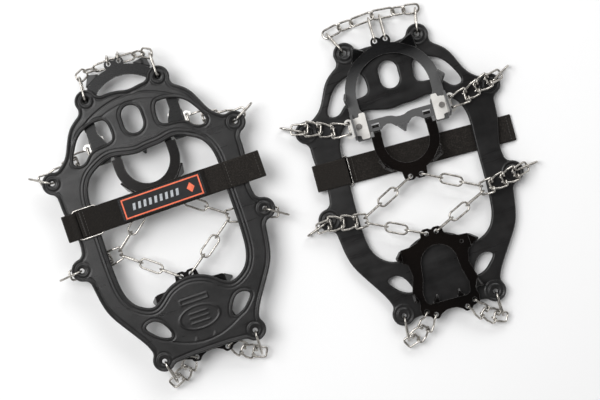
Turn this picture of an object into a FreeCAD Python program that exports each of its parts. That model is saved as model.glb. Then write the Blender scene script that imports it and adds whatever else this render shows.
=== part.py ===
"""A pair of trail ice cleats: rubber harness, spiked steel plates, chains and an instep strap.

Each cleat is drawn spikes down, toe along +Y, with the spike tips at Z = 0.  The right cleat
stands on its spikes.  The left cleat is the mirror image and lies beside it, spikes up.
"""
import FreeCAD, Part
import math
import os
from FreeCAD import Vector

# ---- driving dimensions (mm) -------------------------------------------------------------
PLATE_TOP = 18.0            # top face of the steel plates
PLATE = 2.0                 # steel thickness
PLATE_MID = PLATE_TOP - PLATE / 2
HARNESS_BOTTOM = 20.3
HARNESS_THICK = 3.8
HARNESS_TOP = HARNESS_BOTTOM + HARNESS_THICK
HARNESS_MID = HARNESS_BOTTOM + HARNESS_THICK / 2

EYELETS = {"front": (35, 124), "side": (88, 62), "mid": (88, -22), "rear": (44, -124.5)}
LOBE_RADIUS = 10.5
LOBE_BLEND = 7.0            # fillet where a lobe runs into the edge of the harness
EYELET_RADIUS = 4.0
BOSS_RADIUS = 6.0

CHAIN_WIRE = 2.0            # wire diameter
JOINT_OVERLAP = 1.1         # how far a link's end passes its neighbour, from the crossing
OVAL_WIDTH = 10.7
EYELET_LINK_LENGTH = 24.5
EYELET_LINK_WIDTH = 11.0
RUNG_HALF = 4.6             # half width of a ladder link at its rung
JUNCTION_HALF = 5.8         # and of the first mid link, which the runs join
HOOK_HALF = 6.4
# A hook's bends, as distance past the next rung, distance from the middle, and height
HOOK = [(-4.2, HOOK_HALF, 0.2), (2.3, 6.9, -1.0), (2.4, 4.5, -2.7), (2.6, 2.2, -1.4), (2.4, 2.2, 1.7),
        (-1.0, 2.3, 2.6)]
EYELET_SLACK = 2.2          # from the eyelet's centre to the wire that pulls on it
LADDER_REACH = 12.2         # and on to the ladder's last rung
FRONT_SLACK = 2.7           # the front chain's play in its eyelet links
LADDER_DROP = 2.3           # how far that rung hangs below the link's middle

SPIKE_LEAN = 27.0           # degrees from vertical
SIDE_LEAN = 9.0             # the same for the spikes along the sides
TIP_HALF = 0.8
TAB_HOLE = 2.2              # radius of the chain holes in the plates

HINGE_Y = 48.5              # forefoot hinge: the pin strip of the crossbar
PIN_HALF = 1.5
SLOT_X = 24.5
SLOT_HALF = 3.75
SLOT_FRONT = 54.0
HOOK_HALF_WIDTH = 3.4
HOOK_THICK = 1.6
HOOK_GAP = 0.3

TAG_THICK = 1.5
TAG_TOP = PLATE_TOP - PLATE
FLANGE_X = 43.6
TAG_HOLES_Y = (49.5, 60.0)
TAG_HOLE_X = 48.6

WEBBING = 25.0
STRAP_Y = 18.0
LOOP_THICK = 1.0
RING_WIRE = 2.0
RING_LEFT = -80.0
RING_RIGHT = -57.6
RING_HALF = 13.6
RING_Z = 26.3
STRAP_BOTTOM = 25.6
STRAP_THICK = 1.3
STRAP_LEFT = -56.1
STRAP_RIGHT = 100.0
FLAP_BOTTOM = 27.5
FLAP_THICK = 1.0
FLAP_LEFT = -76.8
FLAP_RIGHT = 46.0
LABEL_LEFT = -37.0
LABEL_RIGHT = 43.5
LABEL_THICK = 0.5
STACK_TOP = FLAP_BOTTOM + FLAP_THICK + LABEL_THICK

# Where the second cleat lies, from the centre of the first
LEFT_OFFSET = (231.1, -36.6)
LEFT_TURN = -4.0            # degrees about Z

# ---- outlines ----------------------------------------------------------------------------
# Left half of the harness's outer edge, front to rear; the right half mirrors it.
OUTER_EDGE = [(0, 123.0), (-22, 124.0), (-47, 113), (-57, 105), (-65, 91), (-73, 77.5), (-86, 66),
              (-88.5, 50), (-87.5, 29), (-83, 0), (-86, -18), (-85, -35), (-83, -50), (-79, -67),
              (-70, -83), (-60, -98), (-52.5, -112), (-46, -127), (-24, -129.5), (0, -129)]
# Left half of the foot opening
OPENING = [(0, 64), (-18, 65.5), (-31, 67.5), (-43, 63.5), (-54, 56), (-60.5, 43), (-61.5, 20),
           (-61.5, -20), (-61, -40), (-59, -55), (-53, -67), (-45, -73), (-37.5, -75),
           (-31, -72), (-22.5, -65), (-12, -60), (0, -58)]
TOE_WINDOW = [(-28, 103), (-37, 102.5), (-50, 97), (-60, 84), (-63, 71), (-56, 70), (-47.5, 77),
              (-36, 80.5), (-24, 83.5), (-22.5, 92)]
HEEL_WINDOW = [(-49, -89.5), (-40, -88.5), (-33, -95), (-30.5, -106), (-38, -104.5), (-46, -98)]
OVAL_WINDOW = (0, 95, 18, 26)   # centre x, y, width, length


# ---- helpers -----------------------------------------------------------------------------
def mirrored(points):
    """The other half of an outline whose first and last points lie on the centre line."""
    return points + [(-x, y) for x, y in reversed(points[1:-1])]


def flipped(points):
    return [(-x, y) for x, y in points]


def spline_face(points, z=0.0):
    curve = Part.BSplineCurve()
    curve.interpolate([Vector(x, y, z) for x, y in points], PeriodicFlag=True)
    return Part.Face(Part.Wire([curve.toShape()]))


def slab(face, bottom, height):
    """The face, drawn at Z = 0, raised to a slab."""
    solid = face.extrude(Vector(0, 0, height))
    solid.translate(Vector(0, 0, bottom))
    return solid


def polygon(points, bottom, height):
    corners = [Vector(x, y, 0) for x, y in points]
    return slab(Part.Face(Part.makePolygon(corners + corners[:1])), bottom, height)


def soft_polygon(points, radius, bottom, height):
    """A slab whose outline has rounded corners."""
    path = rounded_path([(x, y, 0) for x, y in points], radius, closed=True)
    return slab(Part.Face(path), bottom, height)


def block(x0, x1, y0, y1, z0, z1):
    return Part.makeBox(x1 - x0, y1 - y0, z1 - z0, Vector(x0, y0, z0))


def disc(x, y, radius, bottom, height):
    return Part.makeCylinder(radius, height, Vector(x, y, bottom))


def fuse(shapes):
    return shapes[0].multiFuse(shapes[1:]).removeSplitter()


def rounded_path(points, radius, closed=False):
    """Straight runs joined by tangent arcs of one radius, smaller where a run is short."""
    points = [Vector(p) for p in points]
    count = len(points)
    corners = range(count) if closed else range(1, count - 1)
    cuts = {}
    for i in corners:
        before = points[i - 1] - points[i]
        after = points[(i + 1) % count] - points[i]
        turn = math.pi - before.getAngle(after)
        if turn < 0.01:
            continue
        reach = min(radius * math.tan(turn / 2), 0.49 * before.Length, 0.49 * after.Length)
        bend = reach / math.tan(turn / 2)
        start = points[i] + before.normalize() * reach
        end = points[i] + after.normalize() * reach
        inward = (before + after).normalize()
        centre = points[i] + inward * (bend / math.cos(turn / 2))
        cuts[i] = (start, centre - inward * bend, end)
    edges = []
    last = cuts[0][2] if closed else points[0]
    order = list(range(1, count)) + [0] if closed else range(1, count)
    for i in order:
        if i in cuts:
            start, middle, end = cuts[i]
            if (start - last).Length > 1e-4:
                edges.append(Part.LineSegment(last, start).toShape())
            edges.append(Part.Arc(start, middle, end).toShape())
            last = end
        elif (points[i] - last).Length > 1e-4:
            edges.append(Part.LineSegment(last, points[i]).toShape())
            last = points[i]
    return Part.Wire(edges)


def wire_tube(path, diameter):
    edge = path.Edges[0]
    start = edge.valueAt(edge.FirstParameter)
    along = edge.tangentAt(edge.FirstParameter)
    profile = Part.Wire([Part.makeCircle(diameter / 2, start, along)])
    tube = path.makePipeShell([profile], True, True)
    return Part.Solid(tube) if tube.ShapeType == "Shell" else tube.Solids[0]


def axes_for(along, roll):
    """Unit vectors of a link: along it, and across it in its own plane."""
    along = Vector(along).normalize()
    flat = Vector(0, 0, 1).cross(along).normalize()
    upright = along.cross(flat)
    angle = math.radians(roll)
    return along, flat * math.cos(angle) + upright * math.sin(angle)


def oval_link(start, end, roll, width=OVAL_WIDTH, overlap=JOINT_OVERLAP):
    """A closed link between two crossings; roll 0 lies flat and 90 stands on edge."""
    start, end = Vector(start), Vector(end)
    along, across = axes_for(end - start, roll)
    half = (width - CHAIN_WIRE) / 2
    near = start - along * overlap
    far = end + along * overlap
    corners = [near - across * half, far - across * half, far + across * half, near + across * half]
    return wire_tube(rounded_path(corners, half * 0.98, closed=True), CHAIN_WIRE)


def ladder_link(rung, next_rung, side, half=RUNG_HALF):
    """One bent wire: a rung, two legs that spread, and a hook round the next link's legs."""
    rung, next_rung, side = Vector(rung), Vector(next_rung), Vector(side).normalize()
    along = (next_rung - rung)
    length = along.Length
    along.normalize()
    up = along.cross(side).normalize()

    def at(s, lateral, height):
        return rung + along * s + side * lateral + up * height
    arm = [(0, half, 0), (3.0, half, 0)] + [(length + s, w, h) for s, w, h in HOOK]
    left = [at(s, -w, h) for s, w, h in reversed(arm)]
    right = [at(s, w, h) for s, w, h in arm]
    return wire_tube(rounded_path(left + right, 1.5), CHAIN_WIRE)


def end_link(rung, end, side):
    """The closed link that joins a ladder chain to an eyelet link."""
    rung, end, side = Vector(rung), Vector(end), Vector(side).normalize()
    corners = [rung - side * RUNG_HALF, end - side * RUNG_HALF,
               end + side * RUNG_HALF, rung + side * RUNG_HALF]
    return wire_tube(rounded_path(corners, 2.2, closed=True), CHAIN_WIRE)


def ladder(rungs, first_side, first_half=RUNG_HALF):
    """Ladder links from rung to rung, each rung square to the run through it."""
    rungs = [Vector(r) for r in rungs]
    sides = [Vector(first_side).normalize()]
    for i in range(1, len(rungs)):
        run = rungs[min(i + 1, len(rungs) - 1)] - rungs[i - 1]
        sides.append(Vector(0, 0, 1).cross(run).normalize())
    if sides[0].dot(sides[1]) < 0:
        sides[0] = sides[0] * -1
    links = []
    for i in range(len(rungs) - 1):
        half = first_half if i == 0 else RUNG_HALF
        if i < len(rungs) - 2:
            links.append(ladder_link(rungs[i], rungs[i + 1], sides[i], half))
        else:
            links.append(end_link(rungs[i], rungs[i + 1], sides[i]))
    return links


# ---- harness -----------------------------------------------------------------------------
def creases(solid):
    """The upright edges of a slab where its outline turns sharply."""
    found = []
    for edge in solid.Edges:
        direction = edge.tangentAt(edge.FirstParameter)
        faces = solid.ancestorsOfType(edge, Part.Face)
        if abs(direction.z) < 0.9 or len(faces) < 2:
            continue
        point = edge.valueAt((edge.FirstParameter + edge.LastParameter) / 2)
        first, second = (f.normalAt(*f.Surface.parameter(point)) for f in faces)
        if math.degrees(first.getAngle(second)) > 20:
            found.append(edge)
    return found


def harness():
    body = slab(spline_face(mirrored(OUTER_EDGE)), HARNESS_BOTTOM, HARNESS_THICK)
    lobes, bosses = [], []
    for x, y in EYELETS.values():
        for side in (-1, 1):
            lobes.append(disc(side * x, y, LOBE_RADIUS, HARNESS_BOTTOM, HARNESS_THICK))
            bosses.append(disc(side * x, y, BOSS_RADIUS, HARNESS_BOTTOM, HARNESS_THICK + 0.6))
    body = fuse([body] + lobes)
    body = body.makeFillet(LOBE_BLEND, creases(body)).multiFuse(bosses)
    tall = HARNESS_THICK + 4
    low = HARNESS_BOTTOM - 2
    x, y, width, length = OVAL_WINDOW
    cuts = [slab(spline_face(mirrored(OPENING)), low, tall)]
    for window in (TOE_WINDOW, HEEL_WINDOW):
        cuts.append(slab(spline_face(window), low, tall))
        cuts.append(slab(spline_face(flipped(window)), low, tall))
    gap = (length - width) / 2
    cuts.append(fuse([disc(x, y - gap, width / 2, low, tall), disc(x, y + gap, width / 2, low, tall),
                      block(x - width / 2, x + width / 2, y - gap, y + gap, low, low + tall)]))
    for x, y in EYELETS.values():
        cuts += [disc(side * x, y, EYELET_RADIUS, low, tall) for side in (-1, 1)]
    return body.cut(cuts).removeSplitter()


# ---- strap, ring and flap ----------------------------------------------------------------
def rail_loop():
    half = WEBBING / 2
    outer = block(-91.5, -59.6, STRAP_Y - half, STRAP_Y + half,
                  HARNESS_BOTTOM - 0.1 - LOOP_THICK, HARNESS_TOP + 0.1 + LOOP_THICK)
    inner = block(-90.5, -60.6, STRAP_Y - half - 1, STRAP_Y + half + 1,
                  HARNESS_BOTTOM - 0.1, HARNESS_TOP + 0.1)
    band = outer.cut(inner)
    sleeve = Part.makeCylinder(RING_WIRE / 2 + 1.0, WEBBING - 2, Vector(RING_LEFT, STRAP_Y - half + 1, RING_Z),
                               Vector(0, 1, 0))
    bore = Part.makeCylinder(RING_WIRE / 2 + 0.08, WEBBING, Vector(RING_LEFT, STRAP_Y - half, RING_Z),
                             Vector(0, 1, 0))
    cap = block(-90, RING_LEFT, STRAP_Y - half + 1, STRAP_Y + half - 1, HARNESS_TOP + LOOP_THICK, RING_Z + 1.0)
    return fuse([band, cap, sleeve]).cut(bore).removeSplitter()


def strap_ring():
    low, high = STRAP_Y - RING_HALF, STRAP_Y + RING_HALF
    corners = [(RING_LEFT, low, RING_Z), (RING_RIGHT, low, RING_Z),
               (RING_RIGHT, high, RING_Z), (RING_LEFT, high, RING_Z)]
    return wire_tube(rounded_path(corners, 2.5, closed=True), RING_WIRE)


def band(left, right, bottom, thick, corner):
    """A flat strip of webbing with rounded corners."""
    half = WEBBING / 2
    strip = block(left, right, STRAP_Y - half, STRAP_Y + half, bottom, bottom + thick)
    upright = [e for e in strip.Edges if abs(e.tangentAt(e.FirstParameter).z) > 0.9]
    return strip.makeFillet(corner, upright)


def strap():
    doubled = band(64.0, STRAP_RIGHT, STRAP_BOTTOM + STRAP_THICK, 1.0, 1.5)
    return fuse([band(STRAP_LEFT, STRAP_RIGHT, STRAP_BOTTOM, STRAP_THICK, 1.5), doubled])


def strap_flap():
    return band(FLAP_LEFT, FLAP_RIGHT, FLAP_BOTTOM, FLAP_THICK, 1.5)


def strap_label():
    half = 10.5
    strip = block(LABEL_LEFT, LABEL_RIGHT, STRAP_Y - half, STRAP_Y + half,
                  FLAP_BOTTOM + FLAP_THICK, STACK_TOP)
    upright = [e for e in strip.Edges if abs(e.tangentAt(e.FirstParameter).z) > 0.9]
    return strip.makeFillet(1.2, upright)


# ---- steel plates ------------------------------------------------------------------------
def spike(start, end, outward, lean=SPIKE_LEAN, drop=PLATE_MID):
    """A triangle bent down from the plate edge start-end, its tip at the ground."""
    start, end = Vector(*start, PLATE_MID), Vector(*end, PLATE_MID)
    outward = Vector(*outward, 0).normalize()
    angle = math.radians(lean)
    down = Vector(0, 0, -math.cos(angle)) + outward * math.sin(angle)
    tip = (start + end) * 0.5 + down * (drop / math.cos(angle) - 0.5)
    edge = (end - start).normalize()
    normal = down.cross(edge).normalize()
    corners = [start, end, tip + edge * TIP_HALF, tip - edge * TIP_HALF]
    face = Part.Face(Part.makePolygon([c - normal * (PLATE / 2) for c in corners + corners[:1]]))
    blade = face.extrude(normal * PLATE)
    bend = Part.makeCylinder(PLATE / 2, (end - start).Length, start, edge)
    return [blade, bend]


def both_sides(shapes):
    return shapes + [s.mirror(Vector(0, 0, 0), Vector(1, 0, 0)) for s in shapes]


def plate_block(x0, x1, y0, y1):
    return block(x0, x1, y0, y1, PLATE_TOP - PLATE, PLATE_TOP)


def front_plate():
    low = PLATE_TOP - PLATE
    arch = disc(0, 79, 45, low, PLATE).cut(disc(0, 79, 35, low, PLATE))
    arch = arch.cut(block(-60, 60, 20, 79, low, PLATE_TOP))
    half = [plate_block(35, 45, 66, 79.5),
            polygon([(31.6, 41), (43, 41), (44.6, 44), (44.6, 68), (35, 70), (30, 60), (30, 47.5)], low, PLATE),
            polygon([(0, 55), (4, 55.4), (7.5, 57), (12, 57.8), (31, 58), (31, 47), (20, 47), (17.5, 49.2),
                     (13.5, 50.8), (10, 50.2), (7.5, 48.2), (6, 46.5), (0, 46.5)], low, PLATE),
            polygon([(0, 123), (8.5, 122), (9.5, 126), (8.8, 129), (7, 131), (3, 131), (0, 129)], low, PLATE)]
    half += spike((17, 121.2), (31, 113.2), (0.45, 0.9))
    half += spike((44.2, 87.5), (44.6, 74), (1, 0.1), lean=SIDE_LEAN)
    # side flange, square to the plate, that grows into a spike
    flange = Part.Face(Part.makePolygon([Vector(FLANGE_X, 43, 17), Vector(FLANGE_X, 67, 17),
                                         Vector(FLANGE_X, 67, 12.5), Vector(FLANGE_X, 48.6, 0.5),
                                         Vector(FLANGE_X, 46.6, 0.5), Vector(FLANGE_X, 43, 12.5),
                                         Vector(FLANGE_X, 43, 17)]))
    half.append(flange.extrude(Vector(PLATE, 0, 0)))
    plate = fuse([arch] + both_sides(half) + spike((-4.8, 47), (4.8, 47), (0, -1), lean=22))
    slots, holes = [], []
    for side in (-1, 1):
        slots.append(block(side * SLOT_X - SLOT_HALF, side * SLOT_X + SLOT_HALF,
                           HINGE_Y + PIN_HALF, SLOT_FRONT, low - 1, PLATE_TOP + 1))
        slots.append(block(side * SLOT_X - SLOT_HALF, side * SLOT_X + SLOT_HALF,
                           HINGE_Y - 6, HINGE_Y - PIN_HALF, low - 1, PLATE_TOP + 1))
        centre = side * (FLANGE_X + PLATE / 2)
        slots.append(block(centre - 2, centre + 2, 46.3, 63.2, TAG_TOP - TAG_THICK - 0.15, TAG_TOP))
        holes.append(disc(side * 5, 127.5, TAB_HOLE, low - 1, 4))
        holes.append(disc(side * 39.5, 54.75, 1.5, low - 1, 4))
    return plate.cut(slots + holes).removeSplitter()


def rear_plate():
    low = PLATE_TOP - PLATE
    ring = disc(0, 32.5, 31, low, PLATE).cut(disc(0, 32.5, 21.5, low, PLATE))
    ring = ring.cut(block(-60, 60, 32.5, 80, low, PLATE_TOP))
    half = [plate_block(21.5, 31, 32.4, 42.3),
            polygon([(0, 6), (12, 6), (11, -2), (9.5, -5), (7, -5.5), (2.5, -5.5), (0, -3.5)], low, PLATE)]
    hook_back = HINGE_Y - PIN_HALF - 1.1 - HOOK_THICK
    hook_front = HINGE_Y + PIN_HALF + 1.1 + HOOK_THICK
    left, right = SLOT_X - HOOK_HALF_WIDTH, SLOT_X + HOOK_HALF_WIDTH
    top = PLATE_TOP + HOOK_GAP
    half.append(plate_block(left, right, 42.0, hook_back + HOOK_THICK))
    half.append(block(left, right, hook_back, hook_back + HOOK_THICK, low, top + HOOK_THICK))
    half.append(block(left, right, hook_back, hook_front, top, top + HOOK_THICK))
    half.append(block(left, right, hook_front - HOOK_THICK, hook_front, low + 0.2, top + HOOK_THICK))
    half += spike((29.6, 19.5), (19.5, 6.6), (0.8, -0.55), lean=SIDE_LEAN)
    plate = fuse([ring] + both_sides(half))
    holes = [disc(side * 5.2, -2, TAB_HOLE, low - 1, 4) for side in (-1, 1)]
    return plate.cut(holes).removeSplitter()


def heel_plate():
    low = PLATE_TOP - PLATE
    right = [(0, -54.5), (2.5, -52.5), (7.5, -52.5), (10.5, -55), (11, -59.5), (17, -63.5), (24, -65.5),
             (33, -66), (34, -78.5), (29, -80.5), (27, -92), (30, -102), (31.6, -108), (27, -118.5),
             (28.5, -124), (27.5, -130), (20, -132.5), (19, -135), (13, -136), (10, -132.5), (5, -130),
             (0, -129.6)]
    plate = soft_polygon(mirrored(right), 2.2, low, PLATE)
    dome = disc(0, -86, 17, low - 1, 4)
    lower = soft_polygon([(-16.9, -84), (16.9, -84), (18.5, -97), (22, -110), (20.5, -121), (-20.5, -121),
                          (-22, -110), (-18.5, -97)], 4.5, low - 1, 4)
    half = spike((32.8, -66.8), (33.4, -78), (1, 0.1), lean=17)
    half += spike((31.0, -108.8), (27.2, -117.4), (0.85, -0.5), lean=SIDE_LEAN)
    inner = spike((15, -120.6), (8.5, -120.6), (-0.2, 1), lean=35, drop=10)
    plate = fuse([plate.cut([dome, lower])] + both_sides(half + inner))
    holes = [disc(side * x, y, TAB_HOLE, low - 1, 4) for side in (-1, 1)
             for x, y in ((4.75, -57), (23, -127.3), (15, -131.7))]
    dimple = disc(25, -72, 1.6, low - 1, 1.6)
    return plate.cut(holes + [dimple]).removeSplitter()


def side_tag(side):
    bottom = TAG_TOP - TAG_THICK
    head = [soft_polygon([(31.6, 42.2), (39.4, 42.2), (39.4, 46.2), (42, 46.2), (42, 63.3), (37.4, 63.3),
                          (37.4, 66.6), (31.6, 66.6)], 1.4, bottom, TAG_THICK)]
    neck = block(36, 46.8, 46.6, 62.9, bottom, TAG_TOP)
    ears = [disc(TAG_HOLE_X, y, 3.9, bottom, TAG_THICK) for y in TAG_HOLES_Y]
    bridge = block(44.8, 49.0, TAG_HOLES_Y[0], TAG_HOLES_Y[1], bottom, TAG_TOP)
    notch = disc(52.5, 54.75, 4.4, bottom - 1, TAG_THICK + 2)
    tag = fuse(head + [neck, bridge] + ears)
    holes = [disc(TAG_HOLE_X, y, 2.0, bottom - 1, 4) for y in TAG_HOLES_Y]
    tag = tag.cut(holes + [notch, disc(39.5, 54.75, 1.5, bottom - 1, 4)]).removeSplitter()
    return tag if side > 0 else tag.mirror(Vector(0, 0, 0), Vector(1, 0, 0))


def tag_rivets():
    rivets = []
    for side in (-1, 1):
        head = disc(side * 39.5, 54.75, 2.75, TAG_TOP - TAG_THICK - 1.0, 1.0)
        shank = disc(side * 39.5, 54.75, 1.5, TAG_TOP - TAG_THICK - 0.5, PLATE + TAG_THICK + 0.5)
        rivets.append(fuse([head, shank]))
    return Part.makeCompound(rivets)


# ---- chains ------------------------------------------------------------------------------
def eyelet_line(name, side, outward, tilt, lift, slack=EYELET_SLACK):
    """Where an eyelet link starts, and its direction: tilt is down (+) or up (-) at its outer end."""
    x, y = EYELETS[name]
    angle = math.radians(tilt)
    flat = Vector(*outward, 0).normalize()
    along = flat * math.cos(angle) + Vector(0, 0, -math.sin(angle))
    return Vector(side * x, y, HARNESS_MID + lift) + along * slack, along


def eyelet_link(start, along):
    """A long link that stands on edge, threaded through an eyelet."""
    end = start + along * (EYELET_LINK_LENGTH - CHAIN_WIRE)
    return oval_link(start, end, 90, EYELET_LINK_WIDTH, overlap=0.0)


def chain_run(points, rolls, **options):
    return [oval_link(a, b, roll, **options) for a, b, roll in zip(points, points[1:], rolls)]


def straight_run(start, end, count=3):
    start, end = Vector(start), Vector(end)
    points = [start + (end - start) * (i / count) for i in range(count + 1)]
    return chain_run(points, [90, 0, 90])


# Hand-set lie of every chain of a cleat, in the cleat's own frame.  An eyelet link is given by its
# eyelet, side, outward direction, tilt and lift.  A ladder starts at its first rung, and ends
# inside its eyelet link; the front chain runs from one front eyelet link to the other.
LIES = {
    "right": {
        "forefoot": (0.0, 23.0),
        "eyelet_links": [("front", -1, (0.06, 0.99), 8, 2.3, 0.6), ("front", 1, (-0.02, 0.99), 8, 2.3, 0.6),
                         ("side", -1, (-0.87, 0.5), 20, 2.0), ("side", 1, (0.87, 0.5), 20, 2.0),
                         ("mid", -1, (-0.99, -0.1), 20, 2.0), ("mid", 1, (0.83, -0.55), 20, 2.0),
                         ("rear", -1, (0.2, -0.98), 16, 2.0), ("rear", 1, (-0.05, -1), 16, 2.0)],
        "side": [[(-61.5, 75.4, 12.6), (-73.5, 72, 12.2), (-85.8, 67.6, 13.2)],
                 [(61.5, 75.4, 12.6), (73.5, 72, 12.2), (85.8, 67.6, 13.2)]],
        "mid": [[(-50, -18, 14.5), (-61, -19.5, 13.6), (-73, -21, 13.2), (-85.5, -22.2, 13.2)],
                [(53, -18, 14.5), (64, -20, 13.6), (75.5, -22.6, 13.2), (86.5, -25.6, 13.2)]],
        "rear": [(26.0, -138.7, 12.0), (35.0, -144.8, 7.9), (46.5, -149.5, 5.2)],
        "rear_reach": 2.2,
        "front": [(-27.8, 151.2, 12.5), (-19.5, 151.8, 6.6), (0, 152.6, 6.4), (19.5, 151.8, 6.6),
                  (27.8, 151.2, 12.5)],
        "front_rolls": [20, -62, 50, -35, 60, 20],
        "drops": [(-5.2, 157.4, 2.5), (5.2, 157.4, 2.5)],
        "drop_start": (2.0, 2.3),
    },
    "left": {
        "forefoot": (0.0, 0.0),
        "eyelet_links": [("front", -1, (-0.45, 0.89), -3, 0.0), ("front", 1, (0.18, 0.98), -3, 0.0),
                         ("side", -1, (-0.905, 0.43), -3, 0.0), ("side", 1, (0.87, 0.5), -3, 0.0),
                         ("mid", -1, (-0.93, -0.36), -3, 0.0), ("mid", 1, (0.99, 0.12), -3, 0.0),
                         ("rear", -1, (-0.06, -1), -3, 0.0), ("rear", 1, (0.06, -1), -3, 0.0)],
        "side": [[(-63, 57, 14.6), (-74.5, 61, 14.6), (-86, 65, 14.4)],
                 [(62.5, 57.5, 14.6), (74, 61.5, 14.6), (85.5, 65.5, 14.4)]],
        "mid": [[(-54.5, -30.5, 15.6), (-64, -29.6, 15.0), (-76, -27.5, 14.8), (-88, -25.3, 14.4)],
                [(54.5, -30.0, 15.6), (64, -29.0, 15.0), (76, -26.5, 14.8), (88, -24, 14.4)]],
        "rear": [(27.5, -140.4, 18.6), (37.2, -147.4, 21.6), (48.5, -151.7, 23.4)],
        "rear_reach": 5.0,
        "front": [(-33.5, 149.0, 23.2), (-21.5, 150, 22.8), (-1.0, 152.0, 22.2), (18.5, 150.5, 21.8),
                  (29.0, 149.5, 22.8)],
        "front_rolls": [15, -40, 25, -28, 30, -20],
        "drops": [(-5.2, 150.3, 21.2), (5.6, 150.8, 24.5)],
        "drop_start": (0.0, 0.0),
    },
}


def chains(lie):
    dx, dy = lie["forefoot"]
    lines = {(row[0], row[1]): eyelet_line(*row) for row in lie["eyelet_links"]}
    nodes = {"eyelet_links": [eyelet_link(*line) for line in lines.values()]}
    tag_z = TAG_TOP - TAG_THICK / 2
    tag_y = sum(TAG_HOLES_Y) / 2
    for name, side, which in (("inner", -1, 0), ("outer", 1, 1)):
        for place in ("side", "mid"):
            start, along = lines[place, side]
            last = start + along * LADDER_REACH - Vector(0, 0, LADDER_DROP)
            rungs = lie[place][which] + [last]
            if place == "side":
                first = tag_link((side * TAG_HOLE_X + dx, tag_y + dy, tag_z), rungs[0], side)
                nodes[name + "_side_chain"] = first + ladder(rungs, (0, 1, 0))
            else:
                nodes[name + "_mid_chain"] = ladder(rungs, (0, 1, 0), JUNCTION_HALF)
        rungs = [(side * x, y, z) for x, y, z in lie["rear"]]
        first = heel_tab_link(rungs[0], side, lie["rear_reach"])
        nodes[name + "_rear_chain"] = first + ladder(rungs, (side * 0.7, 0.71, 0))
    nodes["forefoot_runs"], nodes["heel_runs"] = [], []
    for which, side in ((0, -1), (1, 1)):
        junction = Vector(*lie["mid"][which][0])
        runs = (("forefoot_runs", (side * 5.2 + dx, -2 + dy), 3.2), ("heel_runs", (side * 4.75, -57), -3.2))
        for name, tab, step in runs:
            start = Vector(*tab, PLATE_MID)
            end = junction + Vector(0, step, 0)
            end = end + (end - start).normalize() * (JOINT_OVERLAP + 0.1)
            nodes[name] += straight_run(start, end)
    tips = [start + along * (EYELET_LINK_LENGTH - CHAIN_WIRE) for start, along in
            (lines["front", -1], lines["front", 1])]
    middle = [Vector(p) for p in lie["front"]]
    first = tips[0] + (tips[0] - middle[0]).normalize() * FRONT_SLACK
    last = tips[1] + (tips[1] - middle[-1]).normalize() * FRONT_SLACK
    front = chain_run([first] + middle + [last], lie["front_rolls"])
    back, up = lie["drop_start"]
    for side, end in zip((-1, 1), lie["drops"]):
        hole = Vector(side * 5 + dx, 127.5 + dy + back, PLATE_MID + up)
        front.append(oval_link(hole, Vector(end), 90, width=8.6, overlap=0.0))
    nodes["front_chain"] = front
    return {name: Part.makeCompound(links) for name, links in nodes.items()}


def tag_link(start, next_rung, side):
    """The first side link, whose rung passes up and down through the tag's two holes."""
    half = (TAG_HOLES_Y[1] - TAG_HOLES_Y[0]) / 2
    start, end = Vector(start), Vector(next_rung)
    top = 2.4
    along = Vector(end.x - start.x, end.y - start.y, 0).normalize()
    across = Vector(0, 1, 0)
    arm = [(0, half, top), (0, half, -top), (3.2, half - 0.2, -top - 0.6)]
    down = (end - start).normalize()
    square = Vector(0, 0, 1).cross(down).normalize() * side
    lift = down.cross(square) * side

    def leg(sign):
        points = [start + along * s + across * (sign * w) + Vector(0, 0, h) for s, w, h in arm]
        return points + [end + down * s + square * (sign * w) + lift * h for s, w, h in HOOK]
    path = list(reversed(leg(-1))) + leg(1)
    return [wire_tube(rounded_path(path, 1.3), CHAIN_WIRE)]


def heel_tab_link(next_rung, side, reach):
    """The first rear link, threaded through two holes of the heel plate and level as far as reach."""
    holes = [Vector(side * 23, -127.3, PLATE_MID), Vector(side * 15, -131.7, PLATE_MID)]
    end = Vector(next_rung)
    start = (holes[0] + holes[1]) * 0.5
    across = (holes[0] - holes[1]) * 0.5
    half = across.Length
    across.normalize()
    flat = Vector(end.x - start.x, end.y - start.y, 0).normalize()
    down = (end - start).normalize()
    square = Vector(0, 0, 1).cross(down).normalize()
    if square.dot(across) < 0:
        square = square * -1
    upright = down.cross(square) * (1 if down.cross(square).z > 0 else -1)
    arm = [(0, half, 2.1), (0, half, -3.1), (reach, half, -3.1)]

    def leg(sign):
        points = [start + flat * s + across * (sign * w) + Vector(0, 0, h) for s, w, h in arm]
        return points + [end + down * s + square * (sign * w) + upright * h for s, w, h in HOOK]
    path = list(reversed(leg(-1))) + leg(1)
    return [wire_tube(rounded_path(path, 1.3), CHAIN_WIRE)]


# ---- one cleat, and the pair -------------------------------------------------------------
def cleat(lie):
    forefoot = Vector(lie["forefoot"][0], lie["forefoot"][1], 0)
    nodes = {"harness": harness(), "rail_loop": rail_loop(), "strap_ring": strap_ring(), "strap": strap(),
             "strap_flap": strap_flap(), "strap_label": strap_label(), "heel_plate": heel_plate()}
    moved = {"forefoot_front_plate": front_plate(), "forefoot_rear_plate": rear_plate(),
             "inner_tag": side_tag(-1), "outer_tag": side_tag(1), "tag_rivets": tag_rivets()}
    for name, shape in moved.items():
        shape.translate(forefoot)
        nodes[name] = shape
    nodes.update(chains(lie))
    return nodes


def lay_over(shape):
    """Mirror a cleat to the other hand, spikes up, and set it in its place."""
    shape = shape.mirror(Vector(0, 0, STACK_TOP / 2), Vector(0, 0, 1))
    shape.rotate(Vector(0, 0, 0), Vector(0, 0, 1), LEFT_TURN)
    shape.translate(Vector(*LEFT_OFFSET, 0))
    return shape


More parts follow.
